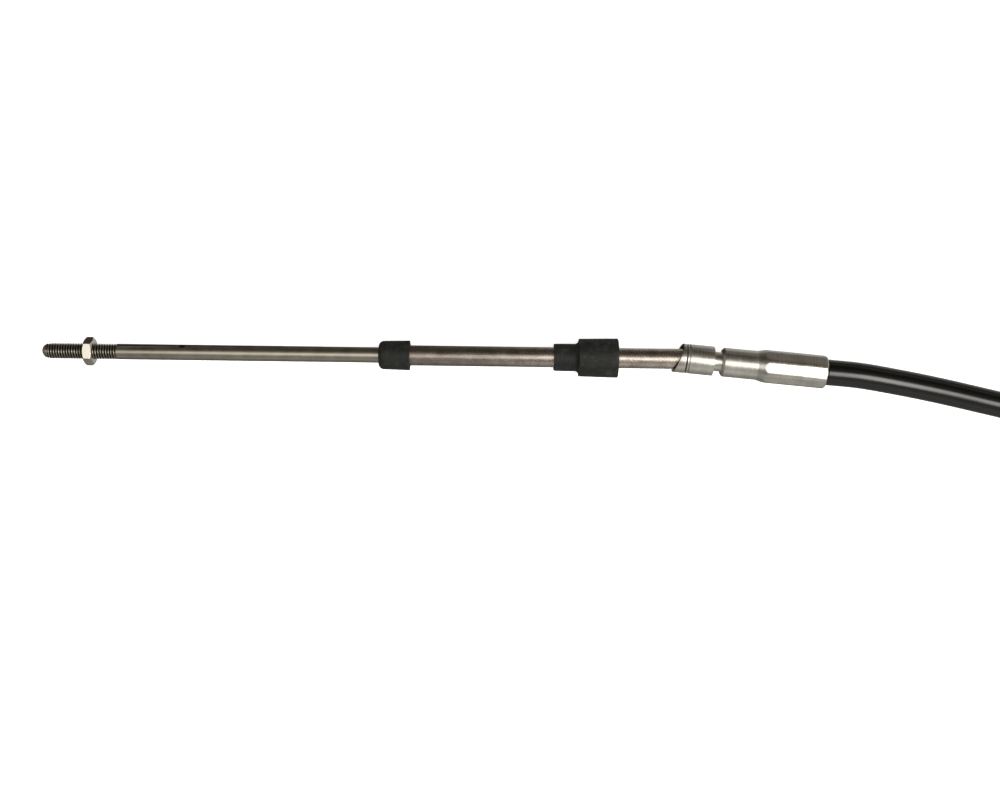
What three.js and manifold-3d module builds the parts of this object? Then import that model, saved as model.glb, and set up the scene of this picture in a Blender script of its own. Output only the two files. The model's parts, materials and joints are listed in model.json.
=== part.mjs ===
// Push-pull boat control cable, two feet over the rod tips at mid stroke, with a like fitting on each end.
// Millimetres, +Z up. The cable lies on the floor with end A towards -X and end B towards +X.
// Each fitting is drawn along its own axis: the swivel centre is at 0 and +X runs out to the rod's tip.

import * as THREE from 'three';
import { mergeVertices } from 'three/addons/utils/BufferGeometryUtils.js';
import Module from 'manifold-3d';

const wasm = await Module();
wasm.setup();

// Rod: 3/16 inch steel, its outer end threaded 10-32
const rodRadius = 2.38;
const rodLength = 114;
const threadLength = 23.3;
const rodEndChamfer = 0.4;
const exposedWhenOut = 102.9;
const stroke = 76.2;

// Lock nut on the thread
const nutAcrossFlats = 7.62;
const nutThickness = 2.85;
const nutFromTip = 13.1;
const nutCornerChamfer = 0.45;
const nutSides = 6;
const nutTurn = -2.1;

// Sleeve tube, which guides the rod and ends in the swivel's ball
const tubeRadius = 3.1;
const ballRadius = 3.85;
const ballBackFlat = 2.6;
const tubeFromSwivel = 93.5;
const boreStopGap = 0.6;

// Front seal, a rubber cap on the tube's outer end
const sealFrontRadius = 4.38;
const sealRearRadius = 4.6;
const sealLength = 9.5;
const sealNose = 2.0;
const sealRounding = 1.6;
const sealRearLip = 0.7;

// Rear boot, a stepped rubber sleeve that the photo shows pushed forward off the hub
const bootSmallRadius = 4.2;
const bootSmallLength = 6.35;
const bootLargeRadius = 6.03;
const bootLargeFrontRadius = 5.78;
const bootLargeLength = 12.0;
const bootStepFillet = 1.3;
const bootFromSwivel = 22.75;
const bootCupDepth = 11.0;

// Hub: one turned steel piece with the ball socket, the clamp groove and the crimped barrel
const hubLip = 4.35;
const hubLipSlant = 2.7;
const hubLipTurn = -20;
const collarRadius = 4.5;
const collarLength = 10.8;
const ringGrooveDepth = 0.25;
const ringGrooveWidth = 0.5;
const firstRingGroove = 2.35;
const ringGrooveSpacing = 0.85;
const ringGrooveCount = 2;
const neckRadius = 2.95;
const neckLength = 2.5;
const bodyRadius = 4.45;
const bodyLength = 10.85;
const bodyChamfer = 0.6;
const coneLength = 2.9;
const barrelRadius = 5.2;
const barrelLength = 18.2;
const barrelRearChamfer = 0.5;
const crimpAcrossFlats = 9.9;
const crimpFlats = 8;
const crimpTurn = -8;
const throatRadius = 3.55;
const swivelLimit = 8;

// Conduit: 5/16 inch jacketed cable
const conduitRadius = 3.97;
const conduitSides = 12;
const conduitSteps = 13;

// Clearances
const runningFit = 0.07;
const pressedFit = 0.05;
const socketFit = 0.1;
const faceGap = 0.3;
const cupFit = 0.1;

// How the cable lies: its own height, and how far each rod is out and each sleeve is swung
const axisHeight = bootLargeRadius;
const sleeveSwing = { a: 4.85, b: 0 };
const rodDrawnIn = { a: 0, b: stroke };

// The conduit's route, chosen by eye from the photo as far as it shows and carried on gently to end B
const conduitRoute = [
  [-63.43, 12.92, axisHeight],
  [-52.93, 11.89, 5.6],
  [-40.73, 9.82, 4.6],
  [-28.53, 7.39, 4.1],
  [-11.33, 3.43, 4.01],
  [2.07, 0.32, 4.01],
  [17.07, -2.98, 4.01],
  [37.07, -6.63, 4.01],
  [57.07, -9.53, 4.01],
  [77.07, -11.83, 4.01],
  [97.07, -13.53, 4.1],
  [113.07, -14.53, 4.6],
  [127.07, -15.13, 5.6],
  [139.47, -15.48, axisHeight],
];

// Fineness of round shapes
const roundSides = 24;
const ballStep = 15;
const domeSteps = 5;
const filletSteps = 3;
const weld = 1e-4;

// Places along a fitting's axis that several pieces share
const sealFront = tubeFromSwivel + faceGap + sealNose;
const rodTip = sealFront + exposedWhenOut;
const rodInnerEnd = rodTip - rodLength;
const boreStop = rodInnerEnd - stroke - boreStopGap;
const boreRadius = rodRadius + runningFit;
const socketRadius = ballRadius + socketFit;
const hubRear = hubLip - collarLength - neckLength - bodyLength - coneLength - barrelLength;

const radians = THREE.MathUtils.degToRad;

// A turned piece: points are [place along the axis, radius], run from the front to the back
function turned(points) {
  const profile = points.map(([along, radius]) => new THREE.Vector2(radius, along));
  const geometry = new THREE.LatheGeometry(profile.reverse(), roundSides);
  return geometry.rotateZ(-Math.PI / 2);
}

// Points on an arc about [centre along, centre radius], angles in degrees from the outward axis
function arc(centreAlong, centreRadius, radius, from, to, steps) {
  const points = [];
  for (let i = 0; i <= steps; i += 1) {
    const angle = radians(from + ((to - from) * i) / steps);
    points.push([centreAlong + radius * Math.cos(angle), centreRadius + radius * Math.sin(angle)]);
  }
  return points;
}

// A closed mesh as a solid that can be cut and joined
function asSolid(geometry) {
  const bare = geometry.clone();
  bare.deleteAttribute('normal');
  bare.deleteAttribute('uv');
  const mesh = mergeVertices(bare, weld);
  const corners = [];
  for (let i = 0; i < mesh.index.count; i += 3) {
    const [a, b, c] = [mesh.index.getX(i), mesh.index.getX(i + 1), mesh.index.getX(i + 2)];
    if (a !== b && b !== c && c !== a) corners.push(a, b, c);
  }
  return new wasm.Manifold(new wasm.Mesh({
    numProp: 3,
    vertProperties: Float32Array.from(mesh.attributes.position.array),
    triVerts: Uint32Array.from(corners),
  }));
}

function asGeometry(solid) {
  const mesh = solid.getMesh();
  const geometry = new THREE.BufferGeometry();
  geometry.setAttribute('position', new THREE.BufferAttribute(mesh.vertProperties, 3));
  geometry.setIndex(new THREE.BufferAttribute(mesh.triVerts, 1));
  geometry.computeVertexNormals();
  return geometry;
}

function named(name, geometry, colour, roughness, metalness) {
  const material = new THREE.MeshStandardMaterial({ color: colour, roughness, metalness });
  const mesh = new THREE.Mesh(geometry, material);
  mesh.name = name;
  return mesh;
}

const steel = (name, geometry) => named(name, geometry, 0xb5ae9c, 0.3, 1);
const rubber = (name, geometry) => named(name, geometry, 0x262725, 0.75, 0);

// The rod: a plain bar, its outer end a half ball and its inner end chamfered
function rod(name) {
  const geometry = turned([
    ...arc(rodTip - rodRadius, 0, rodRadius, 0, 90, domeSteps),
    [rodTip - threadLength, rodRadius],
    [rodInnerEnd + rodEndChamfer, rodRadius],
    [rodInnerEnd, rodRadius - rodEndChamfer],
    [rodInnerEnd, 0],
  ]);
  return steel(name, geometry);
}

// The lock nut: a hexagon with a round bore, its corners cut back on both faces
function lockNut(name) {
  const corner = nutAcrossFlats / 2 / Math.cos(Math.PI / nutSides);
  const outline = new THREE.Shape();
  for (let i = 0; i < nutSides; i += 1) {
    const angle = (2 * Math.PI * (i + 0.5)) / nutSides;
    const point = [corner * Math.cos(angle), corner * Math.sin(angle)];
    if (i === 0) outline.moveTo(...point);
    else outline.lineTo(...point);
  }
  outline.closePath();
  const bore = new THREE.Path();
  bore.absarc(0, 0, boreRadius, 0, 2 * Math.PI);
  outline.holes.push(bore);
  const prism = new THREE.ExtrudeGeometry(outline, {
    depth: nutThickness, bevelEnabled: false, curveSegments: roundSides,
  });
  prism.rotateY(Math.PI / 2);
  const reach = nutThickness + faceGap;
  const blank = turned([
    [reach, 0],
    [reach, nutAcrossFlats / 2],
    [nutThickness, nutAcrossFlats / 2],
    [nutThickness - nutCornerChamfer, corner],
    [nutCornerChamfer, corner],
    [0, nutAcrossFlats / 2],
    [-faceGap, nutAcrossFlats / 2],
    [-faceGap, 0],
  ]);
  const mesh = steel(name, asGeometry(asSolid(prism).intersect(asSolid(blank))));
  mesh.position.x = rodTip - nutFromTip - nutThickness;
  mesh.rotation.x = radians(nutTurn);
  return mesh;
}

// The sleeve tube: bored from the front for the rod, its back end turned to a ball
function sleeveTube(name) {
  const neckAngle = THREE.MathUtils.radToDeg(Math.asin(tubeRadius / ballRadius));
  const backAngle = THREE.MathUtils.radToDeg(Math.acos(-ballBackFlat / ballRadius));
  const geometry = turned([
    [boreStop, 0],
    [boreStop, boreRadius],
    [tubeFromSwivel, boreRadius],
    [tubeFromSwivel, tubeRadius],
    ...arc(0, 0, ballRadius, neckAngle, backAngle, Math.round((backAngle - neckAngle) / ballStep)),
    [-ballBackFlat, 0],
  ]);
  return named(name, geometry, 0x8d8272, 0.35, 1);
}

// The front seal: a cap with a rounded nose, its bore wiping the rod and its pocket gripping the tube
function frontSeal(name) {
  const rear = sealFront - sealLength;
  const pocket = tubeRadius + pressedFit;
  const rounding = sealFrontRadius - sealRounding;
  const geometry = turned([
    [sealFront, boreRadius],
    ...arc(sealFront - sealRounding, rounding, sealRounding, 0, 90, filletSteps),
    [rear + sealRearLip, sealRearRadius],
    [rear, sealRearRadius],
    [rear, pocket],
    [sealFront - sealNose, pocket],
    [sealFront - sealNose, boreRadius],
    [sealFront, boreRadius],
  ]);
  return rubber(name, geometry);
}

// The rear boot: a small collar that grips the tube, a filleted step, and a cup that fits over the hub
function rearBoot(name) {
  const rear = bootFromSwivel;
  const step = rear + bootLargeLength;
  const front = step + bootStepFillet + bootSmallLength;
  const grip = tubeRadius + pressedFit;
  const cup = collarRadius + cupFit;
  const cupFloor = rear + bootCupDepth;
  const fillet = arc(
    step + bootStepFillet, bootSmallRadius + bootStepFillet, bootStepFillet, 270, 180, filletSteps,
  );
  const geometry = turned([
    [front, grip],
    [front, bootSmallRadius],
    ...fillet,
    [step, bootLargeFrontRadius],
    [rear + bootStepFillet, bootLargeRadius],
    [rear, bootLargeRadius],
    [rear, cup],
    [cupFloor, cup],
    [cupFloor, grip],
    [front, grip],
  ]);
  return rubber(name, geometry);
}

// The small V grooves that mark off the rings at the front of the hub's collar
function ringGrooves() {
  const points = [];
  for (let i = 0; i < ringGrooveCount; i += 1) {
    const middle = hubLip - firstRingGroove - i * ringGrooveSpacing;
    points.push(
      [middle + ringGrooveWidth / 2, collarRadius],
      [middle, collarRadius - ringGrooveDepth],
      [middle - ringGrooveWidth / 2, collarRadius],
    );
  }
  return points;
}

// The crimping dies' flats, as a prism along the whole hub
function crimpPrism() {
  const corner = crimpAcrossFlats / 2 / Math.cos(Math.PI / crimpFlats);
  const outline = new THREE.Shape();
  for (let i = 0; i < crimpFlats; i += 1) {
    const angle = (2 * Math.PI * (i + 0.5)) / crimpFlats;
    const point = [corner * Math.cos(angle), corner * Math.sin(angle)];
    if (i === 0) outline.moveTo(...point);
    else outline.lineTo(...point);
  }
  outline.closePath();
  const reach = hubLip + hubLipSlant / 2 - hubRear + 2 * faceGap;
  const prism = new THREE.ExtrudeGeometry(outline, { depth: reach, bevelEnabled: false });
  prism.rotateY(Math.PI / 2).rotateX(radians(crimpTurn));
  return prism.translate(hubRear - faceGap, 0, 0);
}

// What is cut off the hub's lip, so that it stands further out on one side
function lipCut() {
  const width = 2 * collarRadius;
  const block = new THREE.BoxGeometry(width, 2 * width, 2 * width);
  block.translate(width / 2, 0, 0);
  block.rotateZ(-Math.atan2(hubLipSlant, width));
  block.rotateX(radians(hubLipTurn));
  return block.translate(hubLip, 0, 0);
}

function hub(name) {
  const throatAngle = THREE.MathUtils.radToDeg(Math.asin(throatRadius / socketRadius));
  const throat = socketRadius * Math.cos(radians(throatAngle));
  const lipEnd = hubLip + hubLipSlant / 2;
  const mouthRadius = throatRadius + (lipEnd - throat) * Math.tan(radians(swivelLimit));
  const collarEnd = hubLip - collarLength;
  const neckEnd = collarEnd - neckLength;
  const bodyEnd = neckEnd - bodyLength;
  const coneEnd = bodyEnd - coneLength;
  const blank = turned([
    ...arc(0, 0, socketRadius, 180, throatAngle, Math.round((180 - throatAngle) / ballStep)),
    [lipEnd, mouthRadius],
    [lipEnd, collarRadius],
    ...ringGrooves(),
    [collarEnd, collarRadius],
    [collarEnd, neckRadius],
    [neckEnd, neckRadius],
    [neckEnd, bodyRadius - bodyChamfer],
    [neckEnd - bodyChamfer, bodyRadius],
    [bodyEnd, bodyRadius],
    [coneEnd, barrelRadius],
    [hubRear + barrelRearChamfer, barrelRadius],
    [hubRear, barrelRadius - barrelRearChamfer],
    [hubRear, 0],
  ]);
  const solid = asSolid(blank).intersect(asSolid(crimpPrism())).subtract(asSolid(lipCut()));
  return steel(name, asGeometry(solid));
}

// The conduit's jacketed length, swept along its route
function conduit(name) {
  const route = new THREE.CatmullRomCurve3(conduitRoute.map((point) => new THREE.Vector3(...point)));
  const section = new THREE.Shape();
  for (let i = 0; i < conduitSides; i += 1) {
    const angle = (2 * Math.PI * i) / conduitSides;
    const point = [conduitRadius * Math.cos(angle), conduitRadius * Math.sin(angle)];
    if (i === 0) section.moveTo(...point);
    else section.lineTo(...point);
  }
  section.closePath();
  const geometry = new THREE.ExtrudeGeometry(section, {
    steps: conduitSteps, extrudePath: route, bevelEnabled: false,
  });
  return named(name, geometry, 0x060605, 0.35, 0);
}

// One end of the cable: the hub follows the conduit's end, and the sleeve swings on the hub
function fitting(end, rear, inner) {
  const outward = Math.atan2(rear[1] - inner[1], rear[0] - inner[0]);
  const reach = faceGap - hubRear;
  const whole = new THREE.Group();
  whole.position.set(rear[0] + reach * Math.cos(outward), rear[1] + reach * Math.sin(outward), axisHeight);
  whole.rotation.z = outward;
  const sleeve = new THREE.Group();
  sleeve.rotation.z = radians(sleeveSwing[end]);
  const slider = new THREE.Group();
  slider.position.x = -rodDrawnIn[end];
  slider.add(rod(`rod_${end}`), lockNut(`lock_nut_${end}`));
  sleeve.add(sleeveTube(`sleeve_tube_${end}`), frontSeal(`front_seal_${end}`));
  sleeve.add(rearBoot(`rear_boot_${end}`), slider);
  whole.add(hub(`hub_${end}`), sleeve);
  return whole;
}

const cable = new THREE.Group();
cable.add(fitting('a', conduitRoute[0], conduitRoute[1]));
cable.add(conduit('conduit'));
cable.add(fitting('b', conduitRoute.at(-1), conduitRoute.at(-2)));

export default cable;
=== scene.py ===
import json
import math

import bpy
from mathutils import Matrix, Vector


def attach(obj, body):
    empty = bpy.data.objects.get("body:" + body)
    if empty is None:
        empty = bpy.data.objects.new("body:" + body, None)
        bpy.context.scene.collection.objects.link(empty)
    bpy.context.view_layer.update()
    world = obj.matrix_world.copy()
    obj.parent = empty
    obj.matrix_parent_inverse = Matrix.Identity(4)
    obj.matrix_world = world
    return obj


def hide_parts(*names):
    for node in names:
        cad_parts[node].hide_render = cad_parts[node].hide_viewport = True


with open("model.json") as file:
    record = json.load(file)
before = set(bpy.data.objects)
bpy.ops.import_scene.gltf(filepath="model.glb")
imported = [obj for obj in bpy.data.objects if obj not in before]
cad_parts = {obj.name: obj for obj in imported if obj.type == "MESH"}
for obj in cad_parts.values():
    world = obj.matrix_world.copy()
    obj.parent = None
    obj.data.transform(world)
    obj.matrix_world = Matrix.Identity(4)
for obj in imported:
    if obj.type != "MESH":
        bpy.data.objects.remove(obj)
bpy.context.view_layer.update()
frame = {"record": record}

# Camera and table
# The photograph looks straight down on a white table, from about 0.4 m above the cable's axis.
# Its long edge runs along the cable, and its right edge cuts the conduit off.
MM = 0.001
axis_height = 6.03 * MM
camera_height = 403.9 * MM
camera_middle = (-163.18 * MM, 4.43 * MM)
camera_data = bpy.data.cameras.new("copy_stand_camera")
camera_data.sensor_width = 36.0
camera_data.lens = 47.52
camera_data.clip_start = 0.01
camera = bpy.data.objects.new("copy_stand_camera", camera_data)
camera.location = (*camera_middle, axis_height + camera_height)
bpy.context.collection.objects.link(camera)
bpy.context.scene.camera = camera
bpy.context.scene.view_settings.view_transform = "Standard"


def add(tree, kind, settings=None, links=None):
    """Adds a node, sets its properties and input values, and links other sockets to its inputs."""
    node = tree.nodes.new(kind)
    for key, value in (settings or {}).items():
        if isinstance(key, str) and hasattr(node, key):
            setattr(node, key, value)
        else:
            node.inputs[key].default_value = value
    for key, socket in (links or {}).items():
        tree.links.new(socket, node.inputs[key])
    return node


def linear(code, alpha=1.0):
    """An sRGB hex colour as the linear values that shaders use."""
    parts = [int(code[i : i + 2], 16) / 255 for i in (1, 3, 5)]
    return tuple(c / 12.92 if c <= 0.04045 else ((c + 0.055) / 1.055) ** 2.4 for c in parts) + (alpha,)


def new_material(name):
    material = bpy.data.materials.new(name)
    material.use_nodes = True
    material.node_tree.nodes.clear()
    return material, material.node_tree


table_half = 3.0
table_mesh = bpy.data.meshes.new("white_table")
table_mesh.from_pydata(
    [(-table_half, -table_half, 0), (table_half, -table_half, 0),
     (table_half, table_half, 0), (-table_half, table_half, 0)], [], [(0, 1, 2, 3)])
table = bpy.data.objects.new("white_table", table_mesh)
bpy.context.collection.objects.link(table)
table_paint, tree = new_material("white_laminate_table")
surface = add(tree, "ShaderNodeBsdfPrincipled", {
    "Base Color": linear("#f4f4f2"), "Roughness": 0.85,
    "Emission Color": linear("#ffffff"), "Emission Strength": 0.75})
add(tree, "ShaderNodeOutputMaterial", links={"Surface": surface.outputs[0]})
table_mesh.materials.append(table_paint)
table.visible_glossy = False

# Studio light
# A wide soft light hangs over the table, stronger towards the right, with grey walls behind and below
# the viewer and an unlit warm room on the far side. It is drawn on the world, by direction.
world = bpy.data.worlds.new("soft_studio")
bpy.context.scene.world = world
world.use_nodes = True
tree = world.node_tree
tree.nodes.clear()
direction = add(tree, "ShaderNodeTexCoord")
split = add(tree, "ShaderNodeSeparateXYZ", links={0: direction.outputs["Generated"]})
across = add(tree, "ShaderNodeMath", {"operation": "ARCTAN2"}, {
    0: split.outputs["Y"], 1: split.outputs["Z"]})
wall_stops = (
    (-180, (0.25, 0.24, 0.22)), (-135, (0.30, 0.29, 0.27)), (-108, (0.38, 0.37, 0.35)),
    (-92, (0.68, 0.66, 0.63)), (-78, (0.80, 0.78, 0.75)), (-60, (0.52, 0.51, 0.48)),
    (-42, (0.42, 0.41, 0.38)), (-6, (0.42, 0.41, 0.38)), (18, (0.26, 0.24, 0.21)),
    (40, (0.12, 0.10, 0.085)), (56, (0.075, 0.060, 0.048)), (180, (0.055, 0.043, 0.034)),
)
across_share = add(tree, "ShaderNodeMapRange", {"From Min": -math.pi, "From Max": math.pi}, {
    "Value": across.outputs[0]})
across_ramp = add(tree, "ShaderNodeValToRGB", links={"Fac": across_share.outputs["Result"]})
ramp = across_ramp.color_ramp
while len(ramp.elements) < len(wall_stops):
    ramp.elements.new(0.5)
for element, (degrees, colour) in zip(ramp.elements, wall_stops):
    element.position = (degrees + 180) / 360
for element, (degrees, colour) in zip(ramp.elements, wall_stops):
    element.color = (*colour, 1.0)
wall_strength = add(tree, "ShaderNodeMapRange", {
    "From Min": -0.3, "From Max": 0.1, "To Min": 0.65, "To Max": 1.0}, {"Value": split.outputs["X"]})
walls = add(tree, "ShaderNodeVectorMath", {"operation": "SCALE"}, {
    0: across_ramp.outputs["Color"], "Scale": wall_strength.outputs["Result"]})
low_wall = add(tree, "ShaderNodeMapRange", {
    "interpolation_type": "SMOOTHSTEP", "From Min": math.radians(97), "From Max": math.radians(114)}, {
    "Value": across.outputs[0]})
low_wall_right = add(tree, "ShaderNodeMapRange", {"From Min": -0.15, "From Max": 0.1}, {
    "Value": split.outputs["X"]})
low_wall_share = add(tree, "ShaderNodeMath", {"operation": "MULTIPLY"}, {
    0: low_wall.outputs["Result"], 1: low_wall_right.outputs["Result"]})
sides = add(tree, "ShaderNodeMix", {"data_type": "RGBA", 7: (0.52, 0.52, 0.50, 1.0)}, {
    0: low_wall_share.outputs[0], 6: walls.outputs[0]})
softbox_middle = add(tree, "ShaderNodeMapRange", {
    "From Min": 0.22, "From Max": 0.30, "To Min": math.radians(6), "To Max": math.radians(14)}, {
    "Value": split.outputs["X"]})
off_middle = add(tree, "ShaderNodeMath", {"operation": "ADD"}, {
    0: across.outputs[0], 1: softbox_middle.outputs["Result"]})
off_size = add(tree, "ShaderNodeMath", {"operation": "ABSOLUTE"}, {0: off_middle.outputs[0]})
softbox_share = add(tree, "ShaderNodeMapRange", {
    "interpolation_type": "SMOOTHSTEP", "From Min": math.radians(8), "From Max": math.radians(24),
    "To Min": 1.0, "To Max": 0.0}, {"Value": off_size.outputs[0]})
softbox_near = add(tree, "ShaderNodeMapRange", {
    "From Min": -0.3, "From Max": 0.15, "To Min": 1.1, "To Max": 1.9}, {"Value": split.outputs["X"]})
softbox_far = add(tree, "ShaderNodeMapRange", {
    "interpolation_type": "SMOOTHSTEP", "From Min": 0.24, "From Max": 0.31, "To Min": 0.0, "To Max": 6.0}, {
    "Value": split.outputs["X"]})
softbox_strength = add(tree, "ShaderNodeMath", {"operation": "ADD"}, {
    0: softbox_near.outputs["Result"], 1: softbox_far.outputs["Result"]})
softbox_light = add(tree, "ShaderNodeMath", {"operation": "MULTIPLY"}, {
    0: softbox_share.outputs["Result"], 1: softbox_strength.outputs[0]})
softbox = add(tree, "ShaderNodeVectorMath", {"operation": "SCALE", 0: (1.0, 0.985, 0.94)}, {
    "Scale": softbox_light.outputs[0]})
lit = add(tree, "ShaderNodeVectorMath", {"operation": "ADD"}, {0: sides.outputs[2], 1: softbox.outputs[0]})
along = add(tree, "ShaderNodeMath", {"operation": "ARCTAN2"}, {
    0: split.outputs["X"], 1: split.outputs["Z"]})
along_size = add(tree, "ShaderNodeMath", {"operation": "ABSOLUTE"}, {0: along.outputs[0]})
along_share = add(tree, "ShaderNodeMapRange", {
    "interpolation_type": "SMOOTHSTEP", "From Min": math.radians(50), "From Max": math.radians(65)}, {
    "Value": along_size.outputs[0]})
below = add(tree, "ShaderNodeMath", {"operation": "GREATER_THAN", 1: 0.0}, {0: split.outputs["Z"]})
ends_share = add(tree, "ShaderNodeMath", {"operation": "MULTIPLY"}, {
    0: along_share.outputs["Result"], 1: below.outputs[0]})
studio = add(tree, "ShaderNodeMix", {"data_type": "RGBA", 7: (0.36, 0.35, 0.33, 1.0)}, {
    0: ends_share.outputs[0], 6: lit.outputs[0]})
light_path = add(tree, "ShaderNodeLightPath")
seen = add(tree, "ShaderNodeMix", {"data_type": "RGBA", 7: (0.90, 0.90, 0.89, 1.0)}, {
    0: light_path.outputs["Is Camera Ray"], 6: studio.outputs[2]})
background = add(tree, "ShaderNodeBackground", {"Strength": 1.0}, {"Color": seen.outputs[2]})
add(tree, "ShaderNodeOutputWorld", links={"Surface": background.outputs[0]})

# Conduit
# Black polyethylene, extruded over a ring of steel wires. It leaves the hub a little swollen by the
# crimp, then lies on the table in one long S bend, since the wires keep it from bending tighter.
conduit_radius = 3.97 * MM
conduit_points = [Vector(p) * MM for p in (
    (-63.43, 12.92, 6.03), (-52.93, 11.89, 5.6), (-40.73, 9.82, 4.6), (-28.53, 7.39, 4.1),
    (-11.33, 3.43, 4.01), (2.07, 0.32, 4.01), (17.07, -2.98, 4.01), (37.07, -6.63, 4.01),
    (57.07, -9.53, 4.01), (77.07, -11.83, 4.01), (97.07, -13.53, 4.1), (113.07, -14.53, 4.6),
    (127.07, -15.13, 5.6), (139.47, -15.48, 6.03))]
swollen_share = 1.065
swollen_reach = 26 * MM


def smooth_path(points, steps):
    """A centripetal spline through the points, with so many steps to each stretch."""
    first, last = 2 * points[0] - points[1], 2 * points[-1] - points[-2]
    guides = [first, *points, last]
    path = []
    for a, b, c, d in zip(guides, guides[1:], guides[2:], guides[3:]):
        t1 = (b - a).length ** 0.5
        t2 = t1 + (c - b).length ** 0.5
        t3 = t2 + (d - c).length ** 0.5
        for i in range(steps):
            t = t1 + (t2 - t1) * i / steps
            ab = a * (t1 - t) / t1 + b * t / t1
            bc = b * (t2 - t) / (t2 - t1) + c * (t - t1) / (t2 - t1)
            cd = c * (t3 - t) / (t3 - t2) + d * (t - t2) / (t3 - t2)
            abc = ab * (t2 - t) / t2 + bc * t / t2
            bcd = bc * (t3 - t) / (t3 - t1) + cd * (t - t1) / (t3 - t1)
            path.append(abc * (t2 - t) / (t2 - t1) + bcd * (t - t1) / (t2 - t1))
    path.append(points[-1].copy())
    return path


conduit_path = smooth_path(conduit_points, 8)

jacket, tree = new_material("extruded_black_polyethylene")
# Extruded polyethylene is nearly black with a waxy sheen, and carries faint long drawing lines.
uv = add(tree, "ShaderNodeAttribute", {"attribute_name": "along_around"})
drawn = add(tree, "ShaderNodeMapping", {"Scale": (60.0, 9000.0, 1.0)}, {"Vector": uv.outputs["Vector"]})
lines = add(tree, "ShaderNodeTexNoise", {"Scale": 1.0, "Detail": 3.0}, {"Vector": drawn.outputs[0]})
place = add(tree, "ShaderNodeTexCoord")
waves = add(tree, "ShaderNodeTexNoise", {"Scale": 180.0, "Detail": 2.0}, {
    "Vector": place.outputs["Object"]})
rough = add(tree, "ShaderNodeMapRange", {"To Min": 0.15, "To Max": 0.24}, {"Value": waves.outputs["Fac"]})
bump_fine = add(tree, "ShaderNodeBump", {"Strength": 0.2, "Distance": 0.01 * MM}, {
    "Height": lines.outputs["Fac"]})
bump = add(tree, "ShaderNodeBump", {"Strength": 0.3, "Distance": 0.08 * MM}, {
    "Height": waves.outputs["Fac"], "Normal": bump_fine.outputs[0]})
surface = add(tree, "ShaderNodeBsdfPrincipled", {
    "Base Color": linear("#060605"), "IOR": 1.51}, {
    "Roughness": rough.outputs["Result"], "Normal": bump.outputs[0]})
add(tree, "ShaderNodeOutputMaterial", links={"Surface": surface.outputs[0]})

sweep = bpy.data.node_groups.new("jacket_along_route", "GeometryNodeTree")
sweep.is_modifier = True
sweep.interface.new_socket("Route", in_out="INPUT", socket_type="NodeSocketGeometry")
radius_socket = sweep.interface.new_socket("Radius", in_out="INPUT", socket_type="NodeSocketFloat")
swell_socket = sweep.interface.new_socket("Swollen share", in_out="INPUT", socket_type="NodeSocketFloat")
reach_socket = sweep.interface.new_socket("Swollen reach", in_out="INPUT", socket_type="NodeSocketFloat")
sweep.interface.new_socket("Jacket", in_out="OUTPUT", socket_type="NodeSocketGeometry")
given = add(sweep, "NodeGroupInput")
progress = add(sweep, "GeometryNodeSplineParameter")
length = add(sweep, "GeometryNodeSplineLength")
left = add(sweep, "ShaderNodeMath", {"operation": "SUBTRACT"}, {
    0: length.outputs["Length"], 1: progress.outputs["Length"]})
near = add(sweep, "ShaderNodeMath", {"operation": "MINIMUM"}, {
    0: progress.outputs["Length"], 1: left.outputs[0]})
swell = add(sweep, "ShaderNodeMapRange", {"interpolation_type": "SMOOTHSTEP", "To Max": 1.0}, {
    "Value": near.outputs[0], "From Max": given.outputs["Swollen reach"],
    "To Min": given.outputs["Swollen share"]})
bent = add(sweep, "GeometryNodeSetCurveRadius", links={
    "Curve": given.outputs["Route"], "Radius": swell.outputs["Result"]})
kept_length = add(sweep, "GeometryNodeCaptureAttribute", {"domain": "POINT"}, {"Geometry": bent.outputs[0]})
kept_length.capture_items.new("FLOAT", "along")
sweep.links.new(progress.outputs["Length"], kept_length.inputs[1])
ring = add(sweep, "GeometryNodeCurvePrimitiveCircle", {"Resolution": 48}, {
    "Radius": given.outputs["Radius"]})
ring_progress = add(sweep, "GeometryNodeSplineParameter")
kept_turn = add(sweep, "GeometryNodeCaptureAttribute", {"domain": "POINT"}, {"Geometry": ring.outputs[0]})
kept_turn.capture_items.new("FLOAT", "around")
sweep.links.new(ring_progress.outputs["Factor"], kept_turn.inputs[1])
tube = add(sweep, "GeometryNodeCurveToMesh", {"Fill Caps": True}, {
    "Curve": kept_length.outputs[0], "Profile Curve": kept_turn.outputs[0]})
turn = add(sweep, "ShaderNodeMath", {"operation": "MULTIPLY", 1: 2 * math.pi}, {0: kept_turn.outputs[1]})
side = add(sweep, "ShaderNodeMath", {"operation": "SINE"}, {0: turn.outputs[0]})
girth = add(sweep, "ShaderNodeMath", {"operation": "MULTIPLY"}, {
    0: side.outputs[0], 1: given.outputs["Radius"]})
both = add(sweep, "ShaderNodeCombineXYZ", links={"X": kept_length.outputs[1], "Y": girth.outputs[0]})
stored = add(sweep, "GeometryNodeStoreNamedAttribute", {
    "data_type": "FLOAT_VECTOR", "domain": "POINT", "Name": "along_around"}, {
    "Geometry": tube.outputs[0], "Value": both.outputs[0]})
smooth = add(sweep, "GeometryNodeSetShadeSmooth", links={"Geometry": stored.outputs[0]})
whole = add(sweep, "GeometryNodeRealizeInstances", links={"Geometry": smooth.outputs[0]})
dressed = add(sweep, "GeometryNodeSetMaterial", {"Material": jacket}, {"Geometry": whole.outputs[0]})
add(sweep, "NodeGroupOutput", links={0: dressed.outputs[0]})


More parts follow.
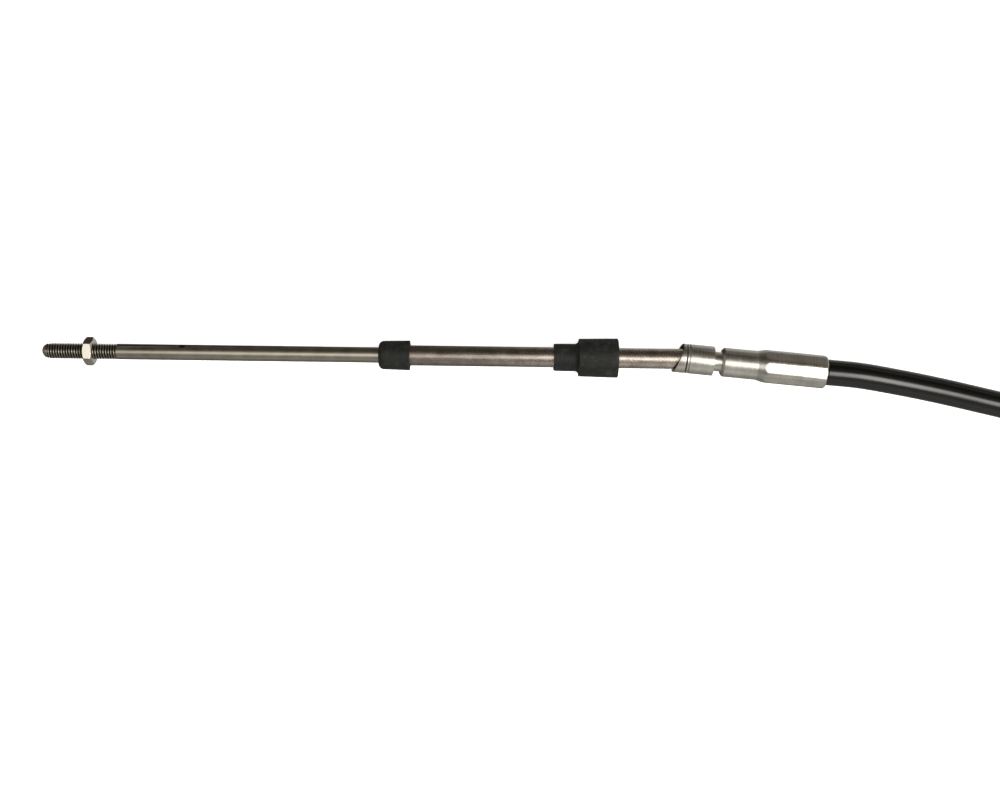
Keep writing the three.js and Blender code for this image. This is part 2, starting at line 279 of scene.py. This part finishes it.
def made_plain(source, tree, values, name):
    """Runs a node tree on an object and returns the result as a new object with a plain mesh."""
    modifier = source.modifiers.new(tree.name, "NODES")
    modifier.node_group = tree
    for socket, value in values.items():
        modifier[socket.identifier] = value
    evaluated = source.evaluated_get(bpy.context.evaluated_depsgraph_get())
    mesh = bpy.data.meshes.new_from_object(evaluated)
    source.modifiers.remove(modifier)
    mesh.name = name
    piece = bpy.data.objects.new(name, mesh)
    bpy.context.collection.objects.link(piece)
    bpy.data.objects.remove(source)
    return piece


route = bpy.data.curves.new("conduit_route", "CURVE")
route.dimensions = "3D"
spline = route.splines.new("POLY")
spline.points.add(len(conduit_path) - 1)
for point, place_on_route in zip(spline.points, conduit_path):
    point.co = (*place_on_route, 1.0)
route_object = bpy.data.objects.new("conduit_route", route)
bpy.context.collection.objects.link(route_object)
conduit = made_plain(route_object, sweep, {
    radius_socket: conduit_radius, swell_socket: swollen_share, reach_socket: swollen_reach},
    "conduit_jacket")
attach(conduit, "cable")
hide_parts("conduit")

# Hub
# One piece turned from steel bar and plated. Its front is a socket rolled over the swivel's ball, with
# two ring grooves; the deep groove takes the clamp, and an eight-sided die has crimped its barrel.
record = frame["record"]
joint_of = {joint["name"]: joint for joint in record["behaviour"]["joints"]}
mount_of = {mount["name"]: mount for mount in record["mounts"]}


def fitting_frame(end, outward):
    """The matrix that lays a fitting's own axis, +X out of the swivel's centre, along a direction."""
    x = Vector(outward).normalized()
    z = Vector((0, 0, 1))
    y = z.cross(x).normalized()
    turn = Matrix((x, y, z)).transposed().to_4x4()
    return Matrix.Translation(Vector(joint_of[f"swivel_{end}"]["pos_m"])) @ turn @ Matrix.Scale(MM, 4)


def rounded(points, steps=4):
    """A profile of (along, radius) or (along, radius, rounding), each rounded corner drawn as an arc."""
    out = []
    for i, point in enumerate(points):
        here = Vector(point[:2])
        rounding = point[2] if len(point) > 2 else 0.0
        if not rounding:
            out.append(here)
            continue
        before = Vector(points[i - 1][:2]) - here
        after = Vector(points[i + 1][:2]) - here
        half = before.angle(after) / 2
        reach = min(rounding / math.tan(half), 0.49 * before.length, 0.49 * after.length)
        start, end = here + before.normalized() * reach, here + after.normalized() * reach
        for k in range(steps + 1):
            t = k / steps
            out.append(start * (1 - t) ** 2 + here * 2 * t * (1 - t) + end * t ** 2)
    return out


def turned(name, points, sides=96, start=0.0, radius_at=None, along_at=None, sharp=32):
    """A piece turned about its own axis in millimetres, with UV as millimetres along and around."""
    vertices, rings = [], []
    travelled = [0.0]
    for a, b in zip(points, points[1:]):
        travelled.append(travelled[-1] + (Vector(b) - Vector(a)).length)
    widest = max(radius for _, radius in points)
    for along, radius in points:
        if radius == 0:
            rings.append([len(vertices)] * sides)
            vertices.append((along, 0.0, 0.0))
            continue
        ring = []
        for k in range(sides):
            angle = start + 2 * math.pi * k / sides
            r = radius_at(along, radius, angle) if radius_at else radius
            x = along_at(along, radius, angle) if along_at else along
            ring.append(len(vertices))
            vertices.append((x, r * math.cos(angle), r * math.sin(angle)))
        rings.append(ring)
    faces, places = [], []
    for i, (a, b) in enumerate(zip(rings, rings[1:])):
        for k in range(sides):
            n = (k + 1) % sides
            corners = [(a[k], i, k), (a[n], i, k + 1), (b[n], i + 1, k + 1), (b[k], i + 1, k)]
            kept = []
            for corner in corners:
                if corner[0] not in [c[0] for c in kept]:
                    kept.append(corner)
            if len(kept) > 2:
                faces.append([c[0] for c in kept])
                places += [(travelled[c[1]], c[2] * 2 * math.pi * widest / sides) for c in kept]
    mesh = bpy.data.meshes.new(name)
    mesh.from_pydata(vertices, [], faces)
    layer = mesh.uv_layers.new(name="UVMap")
    for loop, value in zip(layer.data, places):
        loop.uv = value
    mesh.shade_smooth()
    mesh.set_sharp_from_angle(angle=math.radians(sharp))
    piece = bpy.data.objects.new(name, mesh)
    bpy.context.collection.objects.link(piece)
    return piece


def seated(piece, place, body, node, material):
    """Lays a piece in its place, points its faces out, gives it its material and body, and hides the part it
    stands in for.
    """
    piece.data.transform(place)
    volume = 0.0
    for face in piece.data.polygons:
        corners = [piece.data.vertices[i].co for i in face.vertices]
        for b, c in zip(corners[1:], corners[2:]):
            volume += corners[0].dot(b.cross(c))
    if volume < 0:
        piece.data.flip_normals()
    piece.data.materials.clear()
    piece.data.materials.append(material)
    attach(piece, body)
    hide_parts(node)


# Turned, drawn or ground steel. Its marks and its grain are finer in reality: they are drawn as coarse as
# the render needs to show them. They break a highlight up into lines and a fine sparkle.
def turned_steel(name, colours, roughness, mark_width, mark_depth, grain_width, sparkle, rings, pitted=None):
    """Steel with rings across its axis or lines along it, a sparkle, tarnish, and pits on a stretch."""
    material, tree = new_material(name)
    uv = add(tree, "ShaderNodeUVMap", {"uv_map": "UVMap"})
    fine, slow = 1 / mark_width, 0.05
    scale = (fine, slow, 1.0) if rings else (slow, fine, 1.0)
    stretched = add(tree, "ShaderNodeMapping", {"Scale": scale}, {"Vector": uv.outputs[0]})
    marks = add(tree, "ShaderNodeTexNoise", {"Scale": 1.0, "Detail": 2.0, "Roughness": 0.6}, {
        "Vector": stretched.outputs[0]})
    place = add(tree, "ShaderNodeTexCoord")
    grain = add(tree, "ShaderNodeTexNoise", {"Scale": 1 / (grain_width * MM), "Detail": 1.0}, {
        "Vector": place.outputs["Object"]})
    clouds = add(tree, "ShaderNodeTexNoise", {"Scale": 260.0, "Detail": 5.0, "Roughness": 0.62}, {
        "Vector": place.outputs["Object"]})
    worn = add(tree, "ShaderNodeMix", {0: 0.4}, {2: clouds.outputs["Fac"], 3: marks.outputs["Fac"]})
    shade = add(tree, "ShaderNodeMix", {0: sparkle}, {2: worn.outputs[0], 3: grain.outputs["Fac"]})
    tone = add(tree, "ShaderNodeValToRGB", links={"Fac": shade.outputs[0]})
    tone.color_ramp.elements[0].position, tone.color_ramp.elements[0].color = 0.38, linear(colours[0])
    tone.color_ramp.elements[1].position, tone.color_ramp.elements[1].color = 0.62, linear(colours[1])
    dull = add(tree, "ShaderNodeMapRange", {
        "From Min": 0.35, "From Max": 0.65, "To Min": roughness[0], "To Max": roughness[1]}, {
        "Value": shade.outputs[0]})
    bump_grain = add(tree, "ShaderNodeBump", {"Strength": sparkle, "Distance": 0.03 * MM}, {
        "Height": grain.outputs["Fac"]})
    finish, colour = dull.outputs["Result"], tone.outputs["Color"]
    if pitted:
        way = add(tree, "ShaderNodeSeparateXYZ", links={0: uv.outputs[0]})
        pits = add(tree, "ShaderNodeMapRange", {
            "interpolation_type": "SMOOTHSTEP", "From Min": pitted[0], "From Max": pitted[1],
            "To Min": 1.0, "To Max": 0.0}, {"Value": way.outputs["X"]})
        rougher = add(tree, "ShaderNodeMath", {"operation": "MULTIPLY_ADD", 1: 0.07}, {
            0: pits.outputs["Result"], 2: finish})
        finish = rougher.outputs[0]
        pit_strength = add(tree, "ShaderNodeMath", {"operation": "MULTIPLY_ADD", 1: 0.5, 2: sparkle}, {
            0: pits.outputs["Result"]})
        tree.links.new(pit_strength.outputs[0], bump_grain.inputs["Strength"])
        pit_share = add(tree, "ShaderNodeMath", {"operation": "MULTIPLY", 1: 0.45}, {
            0: pits.outputs["Result"]})
        stained = add(tree, "ShaderNodeMix", {"data_type": "RGBA", 7: linear("#4e453e")}, {
            0: pit_share.outputs[0], 6: colour})
        colour = stained.outputs[2]
    bump = add(tree, "ShaderNodeBump", {"Strength": 0.5, "Distance": mark_depth * MM}, {
        "Height": marks.outputs["Fac"], "Normal": bump_grain.outputs[0]})
    surface = add(tree, "ShaderNodeBsdfPrincipled", {"Metallic": 1.0}, {
        "Base Color": colour, "Roughness": finish, "Normal": bump.outputs[0]})
    add(tree, "ShaderNodeOutputMaterial", links={"Surface": surface.outputs[0]})
    return material


# Bright zinc over turning marks: near-white highlights with fine rings, and dark where the room is unlit.
hub_steel = turned_steel(
    "zinc_plated_turned_steel", ("#b8b5ad", "#d2cfc7"), (0.24, 0.34), 0.15, 0.0015, 0.2, 0.12, True)

hub_lip, hub_lip_slant, hub_lip_turn, lip_start = 4.35, 2.7, math.radians(-20), 2.3
socket_radius, throat_radius, swivel_limit = 3.95, 3.55, 8.0
throat = math.sqrt(socket_radius ** 2 - throat_radius ** 2)
collar_radius, collar_end = 4.5, -6.45
neck_radius, neck_end = 2.95, -8.95
body_radius, body_end, body_chamfer = 4.45, -19.8, 0.6
cone_end = -22.7
barrel_radius, hub_rear, crimp_half_width, crimp_turn = 5.2, -40.9, 4.95, math.radians(-8)
groove_places, groove_half_width, groove_depth = (2.0, 1.15), 0.25, 0.26


def slanted_lip(along, radius, angle):
    """The rolled lip stands further out on one side."""
    share = min(1.0, max(0.0, (along - lip_start) / (hub_lip - lip_start)))
    return along + share * hub_lip_slant / 2 * math.cos(angle - hub_lip_turn)


def hub_radius(along, radius, angle):
    """The mouth opens evenly to the slanted lip, and eight dies have pressed flats on the barrel."""
    if along > throat and radius < collar_radius - 0.2:
        reach = slanted_lip(along, radius, angle) - throat
        return min(radius, throat_radius) + reach * math.tan(math.radians(swivel_limit))
    if along > body_end:
        return radius
    offset = (angle - crimp_turn + math.pi / 8) % (math.pi / 4) - math.pi / 8
    return min(radius, crimp_half_width / math.cos(offset))


def hub_profile():
    throat_angle = math.asin(throat_radius / socket_radius)
    points = []
    for k in range(13):
        angle = math.pi + (throat_angle - math.pi) * k / 12
        points.append((socket_radius * math.cos(angle), socket_radius * math.sin(angle) if k else 0.0))
    points += [
        (hub_lip, throat_radius + 0.05), (hub_lip + 0.02, collar_radius - 0.12),
        (hub_lip, collar_radius, 0.1)]
    for middle in groove_places:
        points += [
            (middle + groove_half_width, collar_radius, 0.08), (middle, collar_radius - groove_depth, 0.04),
            (middle - groove_half_width, collar_radius, 0.08)]
    points += [
        (collar_end, collar_radius, 0.15), (collar_end, neck_radius, 0.2), (neck_end, neck_radius, 0.2),
        (neck_end, body_radius - body_chamfer, 0.08), (neck_end - body_chamfer, body_radius, 0.1),
        (body_end, body_radius, 0.3)]
    for k in range(1, 12):
        share = k / 12
        points.append((body_end + (cone_end - body_end) * share,
                       body_radius + (barrel_radius - body_radius) * share))
    points += [(cone_end, barrel_radius)]
    points += [(hub_rear + 0.55, barrel_radius), (hub_rear + 0.45, barrel_radius - 0.03),
               (hub_rear, barrel_radius - 0.5, 0.1), (hub_rear, 0.0)]
    return rounded(points)


for end in "ab":
    outward = -Vector(mount_of[f"clamp_groove_{end}"]["axis"])
    hub = turned(f"crimped_hub_{end}", hub_profile(), sides=128, radius_at=hub_radius, along_at=slanted_lip)
    seated(hub, fitting_frame(end, outward), "cable", f"hub_{end}", hub_steel)

# Sleeve tube
# Steel tube that guides the rod. Its inner end is swaged to the ball that swings in the hub's socket,
# and its drawn surface is plated, a little browner than the hub, with a fine sparkle.
tube_radius, tube_bore, tube_front, bore_stop = 3.1, 2.45, 93.5, 7.9
ball_radius, ball_back = 3.85, -2.6
# Drawn tube, thinly plated: warm grey, bright near the hub, and pitted and stained towards its outer end.
sleeve_steel = turned_steel(
    "plated_drawn_tube", ("#8f857c", "#d2c8be"), (0.22, 0.32), 0.3, 0.002, 0.35, 0.32, False,
    pitted=(112, 150))
neck_angle = math.asin(tube_radius / ball_radius)
back_angle = math.acos(ball_back / ball_radius)
ball = [(ball_radius * math.cos(a), ball_radius * math.sin(a))
        for a in (neck_angle + (back_angle - neck_angle) * k / 14 for k in range(15))]
tube_profile = rounded([
    (bore_stop, 0.0), (bore_stop, tube_bore), (tube_front, tube_bore, 0.1), (tube_front, tube_radius, 0.15),
    *ball, (ball_back, 0.0)])
for end in "ab":
    outward = joint_of[f"rod_{end}_slide"]["axis"]
    tube = turned(f"swivel_tube_{end}", tube_profile)
    seated(tube, fitting_frame(end, outward), f"sleeve_{end}", f"sleeve_tube_{end}",
           sleeve_steel)

# Front seal
# A moulded nitrile rubber cap pressed on the tube's outer end, whose lip wipes the rod. Its nose is
# rounded and its open end is cut square.
seal_front, seal_length, seal_nose, seal_rounding, seal_widest = 95.8, 9.5, 2.0, 1.6, 4.38
seal_rear = seal_front - seal_length
nose_arc = [
    (seal_front - seal_rounding * (1 - math.cos(a)), seal_widest - seal_rounding * (1 - math.sin(a)))
    for a in (math.pi / 2 * k / 10 for k in range(1, 11))]
seal_profile = rounded([
    (seal_front - 0.5, tube_bore), (seal_front - 0.02, tube_bore + 0.4, 0.1), *nose_arc,
    (seal_rear + 0.7, 4.54, 0.2), (seal_rear + 0.3, 4.6, 0.1), (seal_rear, 4.6, 0.12),
    (seal_rear, tube_radius + 0.05), (seal_front - seal_nose, tube_radius + 0.05),
    (seal_front - seal_nose, tube_bore), (seal_front - 0.5, tube_bore)])


def moulded_rubber(name, colours, speck_width, grain_depth):
    """Nitrile rubber: matt, soft edged, with a fine eroded mould grain and paler rubbed specks."""
    material, tree = new_material(name)
    place = add(tree, "ShaderNodeTexCoord")
    specks = add(tree, "ShaderNodeTexNoise", {"Scale": 1 / (speck_width * MM), "Detail": 3.0}, {
        "Vector": place.outputs["Object"]})
    patches = add(tree, "ShaderNodeTexNoise", {"Scale": 420.0, "Detail": 4.0}, {
        "Vector": place.outputs["Object"]})
    mottle = add(tree, "ShaderNodeMix", {0: 0.5}, {2: patches.outputs["Fac"], 3: specks.outputs["Fac"]})
    tone = add(tree, "ShaderNodeValToRGB", links={"Fac": mottle.outputs[0]})
    tone.color_ramp.elements.new(0.55)
    for element, position, colour in zip(tone.color_ramp.elements, (0.38, 0.54, 0.66), colours):
        element.position, element.color = position, linear(colour)
    dull = add(tree, "ShaderNodeMapRange", {"To Min": 0.5, "To Max": 0.75}, {
        "Value": patches.outputs["Fac"]})
    bump = add(tree, "ShaderNodeBump", {"Strength": 0.6, "Distance": grain_depth * MM}, {
        "Height": specks.outputs["Fac"]})
    surface = add(tree, "ShaderNodeBsdfPrincipled", {"IOR": 1.5, "Specular IOR Level": 0.3}, {
        "Base Color": tone.outputs["Color"], "Roughness": dull.outputs["Result"],
        "Normal": bump.outputs[0]})
    add(tree, "ShaderNodeOutputMaterial", links={"Surface": surface.outputs[0]})
    return material


# The wiper is the darker and finer of the two rubbers, almost black, with few paler specks.
seal_rubber = moulded_rubber("nitrile_rubber_wiper", ("#0e0f0d", "#181917", "#2c2d2a"), 0.4, 0.05)
for end in "ab":
    outward = joint_of[f"rod_{end}_slide"]["axis"]
    seal = turned(f"wiper_seal_{end}", seal_profile)
    seated(seal, fitting_frame(end, outward), f"sleeve_{end}", f"front_seal_{end}",
           seal_rubber)

# Rear boot
# A moulded rubber boot with a small collar that grips the tube and a cup that fits over the hub. It
# has been pushed forward off the hub, and shows two low mould lines and a ragged trimmed front edge.
boot_rear, boot_large, boot_fillet, boot_small = 22.75, 12.0, 1.3, 6.35
boot_shoulder = boot_rear + boot_large
boot_front = boot_shoulder + boot_fillet + boot_small
boot_grip, boot_cup, boot_cup_floor = tube_radius + 0.05, 4.6, boot_rear + 11.0
boot_collar, boot_radii = 4.2, (5.78, 5.86, 5.98, 6.03)
collar_skin, cup_skin, boot_most = 4.0, 5.0, 6.06
mould_line_height, mould_line_width = 0.05, 0.06
mould_line_places = (math.radians(62), math.radians(242))
ragged_reach, ragged_trim, ragged_wave, ragged_tear = 0.3, 0.10, 0.07, 0.05


def mould_lines(along, radius, angle):
    """Two low ridges where the mould's halves met, on the outside only."""
    if radius < collar_skin or (along < boot_cup_floor and radius < cup_skin):
        return radius
    ridge = 0.0
    for middle in mould_line_places:
        off = (angle - middle + math.pi) % (2 * math.pi) - math.pi
        ridge += mould_line_height * math.exp(-((off / mould_line_width) ** 2))
    return min(radius + ridge, boot_most)


def ragged_front(along, radius, angle):
    """The trimmed front edge wanders a little."""
    if along < boot_front - ragged_reach:
        return along
    tears = ragged_tear * math.sin(11 * angle) * math.sin(4 * angle)
    return along - ragged_trim - ragged_wave * math.sin(3 * angle + 0.6) - tears


fillet_arc = [
    (boot_shoulder + boot_fillet * (1 - math.sin(a)), boot_collar + boot_fillet * (1 - math.cos(a)))
    for a in (math.pi / 2 * k / 10 for k in range(11))]
boot_profile = rounded([
    (boot_front, boot_grip), (boot_front, boot_collar - 0.06, 0.2), (boot_front - 2.0, boot_collar),
    *fillet_arc, (boot_shoulder, boot_radii[0], 0.18), (boot_shoulder - 4.0, boot_radii[1]),
    (boot_rear + 3.0, boot_radii[2]), (boot_rear, boot_radii[3], 0.25), (boot_rear, boot_cup, 0.15),
    (boot_cup_floor, boot_cup, 0.3), (boot_cup_floor, boot_grip), (boot_front, boot_grip)])
# The boot's mould was coarser, so its black is broken by more and paler specks.
boot_rubber = moulded_rubber("nitrile_rubber_boot", ("#0f100e", "#1a1b19", "#30312e"), 0.45, 0.06)
for end in "ab":
    outward = joint_of[f"boot_{end}_slide"]["axis"]
    boot = turned(
        f"stepped_boot_{end}", boot_profile, sides=144, radius_at=mould_lines, along_at=ragged_front)
    seated(boot, fitting_frame(end, outward), f"boot_{end}", f"rear_boot_{end}", boot_rubber)

# Rod
# Ground 3/16 inch steel bar with a half-ball tip. The outer 23 mm carry a rolled 10-32 thread, which the
# node tree below presses into the bar as a helix. Rod A carries one small dark nick on its far side.
rod_radius, rod_tip, rod_inner = 2.38, 198.7, 84.7
thread_length, thread_pitch, thread_depth = 23.3, 0.79375, 0.5
rows_to_a_turn = 12
thread_start, rod_end_chamfer, travel = 0.9, 0.4, 76.2
drawn_in = {"a": 0.0, "b": travel}
nick_along, nick_length, nick_width, nick_depth, nick_angle = 156.0, 0.9, 0.6, 0.4, math.radians(146)
nick_reach, nick_row, nick_rows = 2.4, 0.16, 31
nick_zone, nick_edge, nick_floor = 1.5, 0.03, 0.16
thread = bpy.data.node_groups.new("rolled_thread", "GeometryNodeTree")
thread.is_modifier = True
thread.interface.new_socket("Bar", in_out="INPUT", socket_type="NodeSocketGeometry")
pitch_socket = thread.interface.new_socket("Pitch", in_out="INPUT", socket_type="NodeSocketFloat")
depth_socket = thread.interface.new_socket("Depth", in_out="INPUT", socket_type="NodeSocketFloat")
from_socket = thread.interface.new_socket("From", in_out="INPUT", socket_type="NodeSocketFloat")
to_socket = thread.interface.new_socket("To", in_out="INPUT", socket_type="NodeSocketFloat")
nick_socket = thread.interface.new_socket("Nick at", in_out="INPUT", socket_type="NodeSocketFloat")
thread.interface.new_socket("Threaded bar", in_out="OUTPUT", socket_type="NodeSocketGeometry")
given = add(thread, "NodeGroupInput")
where = add(thread, "GeometryNodeInputPosition")
split = add(thread, "ShaderNodeSeparateXYZ", links={0: where.outputs[0]})
angle = add(thread, "ShaderNodeMath", {"operation": "ARCTAN2"}, {
    0: split.outputs["Z"], 1: split.outputs["Y"]})
turn = add(thread, "ShaderNodeMath", {"operation": "DIVIDE", 1: 2 * math.pi}, {0: angle.outputs[0]})
along = add(thread, "ShaderNodeMath", {"operation": "DIVIDE"}, {
    0: split.outputs["X"], 1: given.outputs["Pitch"]})
phase = add(thread, "ShaderNodeMath", {"operation": "SUBTRACT"}, {0: along.outputs[0], 1: turn.outputs[0]})
flank = add(thread, "ShaderNodeMath", {"operation": "PINGPONG", 1: 0.5}, {0: phase.outputs[0]})
tooth = add(thread, "ShaderNodeMapRange", {"From Min": 0.07, "From Max": 0.42}, {"Value": flank.outputs[0]})
fade_in = add(thread, "ShaderNodeMapRange", {"To Min": 0.0, "To Max": 1.0}, {"Value": split.outputs["X"]})
run_out = add(thread, "ShaderNodeMath", {"operation": "ADD"}, {
    0: given.outputs["From"], 1: given.outputs["Pitch"]})
thread.links.new(given.outputs["From"], fade_in.inputs["From Min"])
thread.links.new(run_out.outputs[0], fade_in.inputs["From Max"])
fade_out = add(thread, "ShaderNodeMapRange", {"To Min": 1.0, "To Max": 0.0}, {"Value": split.outputs["X"]})
lead = add(thread, "ShaderNodeMath", {"operation": "SUBTRACT"}, {
    0: given.outputs["To"], 1: given.outputs["Pitch"]})
thread.links.new(lead.outputs[0], fade_out.inputs["From Min"])
thread.links.new(given.outputs["To"], fade_out.inputs["From Max"])
fade = add(thread, "ShaderNodeMath", {"operation": "MINIMUM"}, {
    0: fade_in.outputs["Result"], 1: fade_out.outputs["Result"]})
cut = add(thread, "ShaderNodeMath", {"operation": "MULTIPLY"}, {
    0: tooth.outputs["Result"], 1: fade.outputs[0]})
deep = add(thread, "ShaderNodeMath", {"operation": "MULTIPLY"}, {
    0: cut.outputs[0], 1: given.outputs["Depth"]})
radial = add(thread, "ShaderNodeCombineXYZ", links={"Y": split.outputs["Y"], "Z": split.outputs["Z"]})
unit = add(thread, "ShaderNodeVectorMath", {"operation": "NORMALIZE"}, {0: radial.outputs[0]})
inward = add(thread, "ShaderNodeMath", {"operation": "MULTIPLY", 1: -1.0}, {0: deep.outputs[0]})
offset = add(thread, "ShaderNodeVectorMath", {"operation": "SCALE"}, {0: unit.outputs[0]})
thread.links.new(inward.outputs[0], offset.inputs["Scale"])
pressed = add(thread, "GeometryNodeSetPosition", links={
    "Geometry": given.outputs["Bar"], "Offset": offset.outputs[0]})
at_nick = add(thread, "ShaderNodeMath", {"operation": "COMPARE", 2: nick_zone}, {
    0: split.outputs["X"], 1: given.outputs["Nick at"]})
girth = add(thread, "ShaderNodeVectorMath", {"operation": "LENGTH"}, {0: radial.outputs[0]})
sunk = add(thread, "ShaderNodeMapRange", {
    "From Min": rod_radius - nick_edge, "From Max": rod_radius - nick_floor, "To Min": 0.0, "To Max": 1.0}, {
    "Value": girth.outputs["Value"]})
pit = add(thread, "ShaderNodeMath", {"operation": "MULTIPLY"}, {
    0: at_nick.outputs[0], 1: sunk.outputs["Result"]})
# The depth of the thread's grooves and of the nick, kept as a mask for painted shade in the rod's colour.
dark = add(thread, "ShaderNodeMath", {"operation": "MAXIMUM"}, {0: cut.outputs[0], 1: pit.outputs[0]})
rooted = add(thread, "GeometryNodeStoreNamedAttribute", {
    "data_type": "FLOAT", "domain": "POINT", "Name": "painted_groove_shade"}, {
    "Geometry": pressed.outputs[0], "Value": dark.outputs[0]})
whole = add(thread, "GeometryNodeRealizeInstances", links={"Geometry": rooted.outputs[0]})

# Ground bar, unplated and a little tarnished: a narrow grey highlight, and painted shade, a dark brown mixed
# into the colour, in the thread's grooves and the nick's hollow.
rod_steel = turned_steel(
    "ground_steel_rod", ("#928c81", "#a8a296"), (0.26, 0.36), 0.12, 0.0015, 0.3, 0.25, False)
tree = rod_steel.node_tree
surface = next(node for node in tree.nodes if node.type == "BSDF_PRINCIPLED")
root = add(tree, "ShaderNodeAttribute", {"attribute_name": "painted_groove_shade"})
# Painted shade: the base colour goes towards dark brown by the depth of the thread's grooves and of the
# nick.
groove_shaded = add(tree, "ShaderNodeMix", {"data_type": "RGBA", 7: linear("#2e2921")}, {
    0: root.outputs["Fac"], 6: surface.inputs["Base Color"].links[0].from_socket})
tree.links.new(groove_shaded.outputs[2], surface.inputs["Base Color"])
dressed = add(thread, "GeometryNodeSetMaterial", {"Material": rod_steel}, {"Geometry": whole.outputs[0]})
add(thread, "NodeGroupOutput", links={0: dressed.outputs[0]})

dome = [(rod_tip - rod_radius * (1 - math.cos(a)), rod_radius * math.sin(a))
        for a in (math.pi / 2 * k / 12 for k in range(13))]
dome[0] = (rod_tip, 0.0)
thread_from, thread_to = rod_tip - thread_length, rod_tip - thread_start
thread_rows = int((thread_to - thread_from) / thread_pitch * rows_to_a_turn)
bar = dome + [(dome[-1][0] - (dome[-1][0] - thread_from) * k / thread_rows, rod_radius)
              for k in range(1, thread_rows + 1)]
bar += [(nick_along + nick_reach - nick_row * k, rod_radius) for k in range(nick_rows)]
bar += [(rod_inner + rod_end_chamfer, rod_radius), (rod_inner, rod_radius - rod_end_chamfer),
        (rod_inner, 0.0)]


def nicked(along, radius, angle):
    """The bar's radius, with the one small nick."""
    off_along, off_round = (along - nick_along) / nick_length, (angle - nick_angle) * radius / nick_width
    return radius - nick_depth * math.exp(-off_along ** 2 - off_round ** 2)


for end in "ab":
    outward = joint_of[f"rod_{end}_slide"]["axis"]
    blank = turned(f"bar_{end}", bar, sides=72, radius_at=nicked if end == "a" else None)
    rod = made_plain(blank, thread, {
        pitch_socket: thread_pitch, depth_socket: thread_depth, from_socket: thread_from,
        to_socket: thread_to, nick_socket: nick_along}, f"threaded_rod_{end}")
    rod.data.transform(Matrix.Translation((-drawn_in[end], 0, 0)))
    seated(rod, fitting_frame(end, outward), f"rod_{end}", f"rod_{end}", rod_steel)

# Lock nut
# A small hexagon nut of bright plated steel, its corners chamfered on both faces. It locks the rod to
# whatever its thread is screwed into.
nut_across_flats, nut_thickness, nut_from_tip = 7.62, 2.85, 13.1
nut_turn, nut_face_radius = math.radians(-2.1), 3.6
nut_bore_skin, nut_face_edge, nut_corners = 3.0, 3.3, 4.4
nut_back = rod_tip - nut_from_tip - nut_thickness
# Bright nickel plate on sawn hexagon bar: nearly white where a flat faces the light.
nut_steel = turned_steel(
    "bright_plated_nut", ("#cfc8bc", "#e2dbcf"), (0.2, 0.3), 0.3, 0.002, 0.3, 0.2, True)


def hexagon(along, radius, angle):
    """The nut's six flats, with the corners turned back by a 30 degree chamfer on both faces."""
    if radius < nut_bore_skin:
        return radius
    offset = (angle - nut_turn) % (math.pi / 3) - math.pi / 6
    flat = nut_across_flats / 2 / math.cos(offset)
    depth = min(nut_back + nut_thickness - along, along - nut_back)
    turned_back = nut_face_radius + depth * math.tan(math.radians(60))
    return min(flat, turned_back, radius)


nut_rows = [nut_back + nut_thickness * (1 - math.cos(math.pi * k / 36)) / 2 for k in range(36, -1, -1)]
nut_profile = [(nut_back + nut_thickness, tube_bore), (nut_back + nut_thickness, nut_face_edge)]
nut_profile += [(row, nut_corners) for row in nut_rows]
nut_profile += [(nut_back, nut_face_edge), (nut_back, tube_bore)]
nut_profile += [(nut_back + nut_thickness, tube_bore)]
for end in "ab":
    outward = joint_of[f"rod_{end}_slide"]["axis"]
    nut = turned(f"hexagon_nut_{end}", nut_profile, sides=96, start=nut_turn, radius_at=hexagon, sharp=20)
    nut.data.transform(Matrix.Translation((-drawn_in[end], 0, 0)))
    seated(nut, fitting_frame(end, outward), f"nut_{end}", f"lock_nut_{end}", nut_steel)
